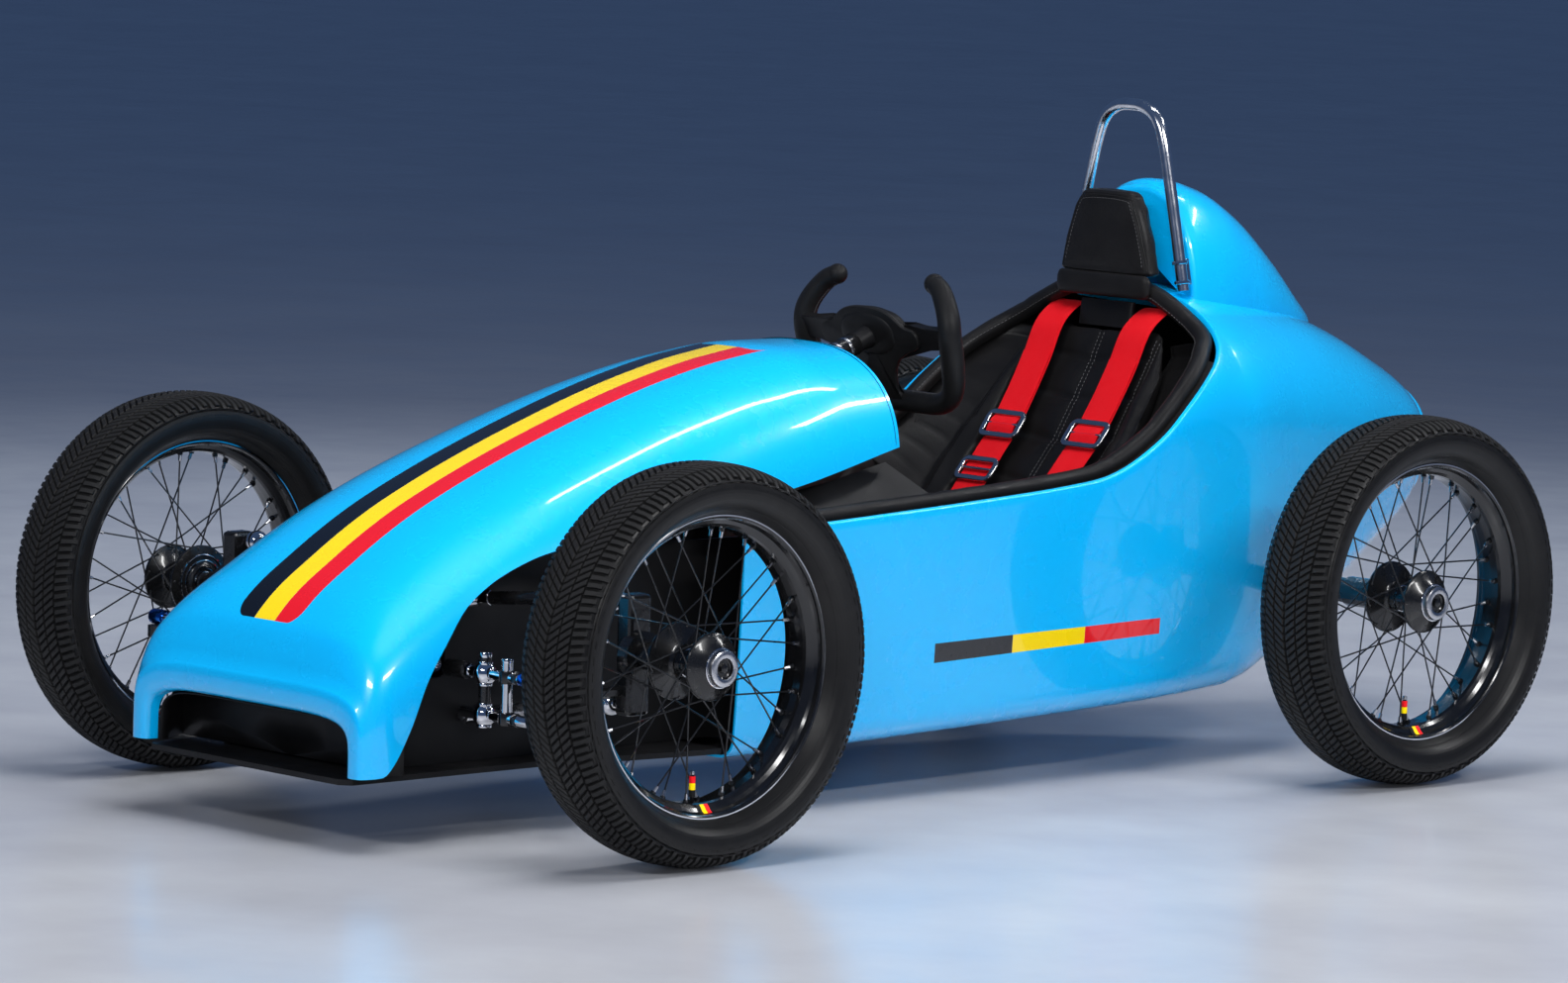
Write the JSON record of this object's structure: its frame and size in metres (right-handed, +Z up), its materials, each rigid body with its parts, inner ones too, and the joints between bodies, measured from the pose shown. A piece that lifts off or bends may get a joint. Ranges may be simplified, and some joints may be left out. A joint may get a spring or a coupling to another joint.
{
  "type": "pedal racing car",
  "caption": "Open pedal racing car with moulded body, bucket seat and harness, roll hoop, steered front axle and spoked wheels.",
  "frame": {"origin": "on the ground, half way between the nose and the tail, on the centre plane", "axes": "+Z up, front of the car towards -Y, the car's left side towards +X"},
  "size_m": [1.253, 2.38, 1.0078],
  "materials": {
    "body_blue": "deep gloss sky blue lacquer",
    "black_panel": "satin black moulded panel",
    "leather": "black upholstery leather with stitched seams",
    "wheel_grip": "matt black grip and pad",
    "black_metal": "black anodised and painted metal",
    "wheel_black": "gloss black anodised rims, spokes and hubs",
    "chrome": "polished chrome",
    "steel": "brushed steel",
    "alloy": "satin aluminium",
    "webbing": "red woven harness webbing",
    "tyre": "black rubber tyre, block tread and satin sidewall"
  },
  "bodies": {
    "chassis": {"hood": "body_blue", "body_shell": "body_blue", "headrest_fairing": "body_blue", "cockpit_trim": "leather", "floor_pan": "black_panel", "foot_box": "black_panel", "side_deck_left": "black_panel", "side_deck_right": "black_panel", "dash_hoop": "black_metal", "rack_housing": "alloy", "crank_housing": "black_metal", "upper_arm_left": "black_metal", "upper_arm_right": "black_metal", "lower_arm_left": "steel", "lower_arm_right": "steel", "rear_axle_beam": "black_metal", "drive_unit": "alloy", "seat_back": "leather", "seat_base": "leather", "side_bolster_left": "leather", "side_bolster_right": "leather", "headrest": "leather", "roll_hoop": "chrome", "hoop_clamp_left": "chrome", "hoop_clamp_right": "chrome", "shoulder_strap_left": "webbing", "shoulder_strap_right": "webbing", "strap_buckle_left": "steel", "strap_buckle_right": "steel", "lap_strap": "webbing"},
    "steering": {"steering_wheel": "wheel_grip", "steering_column": "black_metal"},
    "rack": {"rack_bar": "chrome"},
    "cranks": {"crankset": "black_metal"},
    "knuckle_left": {"knuckle_left": "black_metal"},
    "knuckle_right": {"knuckle_right": "black_metal"},
    "tie_rod_left": {"tie_rod_left": "chrome"},
    "tie_rod_right": {"tie_rod_right": "chrome"},
    "wheel_front_left": {"tyre_front_left": "tyre", "spoked_wheel_front_left": "wheel_black"},
    "wheel_front_right": {"tyre_front_right": "tyre", "spoked_wheel_front_right": "wheel_black"},
    "wheel_rear_left": {"tyre_rear_left": "tyre", "spoked_wheel_rear_left": "wheel_black"},
    "wheel_rear_right": {"tyre_rear_right": "tyre", "spoked_wheel_rear_right": "wheel_black"}
  },
  "joints": [
    {"name": "steering_turn", "type": "hinge", "parent": "chassis", "child": "steering", "pos_m": [0, 0.02, 0.662], "axis": [0, 0.9352, 0.3542], "range_deg": [-60, 60]},
    {"name": "knuckle_left_steer", "type": "hinge", "parent": "chassis", "child": "knuckle_left", "pos_m": [0.42, -0.852, 0.28], "axis": [0, 0, 1], "range_deg": [-25.01, 25.01]},
    {"name": "knuckle_right_steer", "type": "hinge", "parent": "chassis", "child": "knuckle_right", "pos_m": [-0.42, -0.852, 0.28], "axis": [0, 0, 1], "range_deg": [-25.01, 25.01]},
    {"name": "tie_rod_left_pivot", "type": "hinge", "parent": "knuckle_left", "child": "tie_rod_left", "pos_m": [0.42, -1.007, 0.248], "axis": [0, 0, 1], "range_deg": [-25.01, 25.01]},
    {"name": "tie_rod_right_pivot", "type": "hinge", "parent": "knuckle_right", "child": "tie_rod_right", "pos_m": [-0.42, -1.007, 0.248], "axis": [0, 0, 1], "range_deg": [-25.01, 25.01]},
    {"name": "rack_slide", "type": "slide", "parent": "chassis", "child": "rack", "axis": [1, 0, 0], "range_m": [-0.067, 0.067]},
    {"name": "crank_spin", "type": "hinge", "parent": "chassis", "child": "cranks", "pos_m": [0, -0.737, 0.268], "axis": [1, 0, 0], "continuous": true},
    {"name": "wheel_front_left_spin", "type": "hinge", "parent": "knuckle_left", "child": "wheel_front_left", "pos_m": [0.559, -0.852, 0.28], "axis": [1, 0, 0], "continuous": true},
    {"name": "wheel_front_right_spin", "type": "hinge", "parent": "knuckle_right", "child": "wheel_front_right", "pos_m": [-0.559, -0.852, 0.28], "axis": [1, 0, 0], "continuous": true},
    {"name": "wheel_rear_left_spin", "type": "hinge", "parent": "chassis", "child": "wheel_rear_left", "pos_m": [0.559, 0.619, 0.28], "axis": [1, 0, 0], "continuous": true},
    {"name": "wheel_rear_right_spin", "type": "hinge", "parent": "chassis", "child": "wheel_rear_right", "pos_m": [-0.559, 0.619, 0.28], "axis": [1, 0, 0], "continuous": true}
  ],
  "couplings": [
    {"joint": "knuckle_left_steer", "follows": "steering_turn", "ratio": 0.41667},
    {"joint": "knuckle_right_steer", "follows": "steering_turn", "ratio": 0.41667},
    {"joint": "tie_rod_left_pivot", "follows": "steering_turn", "ratio": -0.41667},
    {"joint": "tie_rod_right_pivot", "follows": "steering_turn", "ratio": -0.41667},
    {"joint": "rack_slide", "follows": "steering_turn", "m_per_rad": 0.0636}
  ]
}
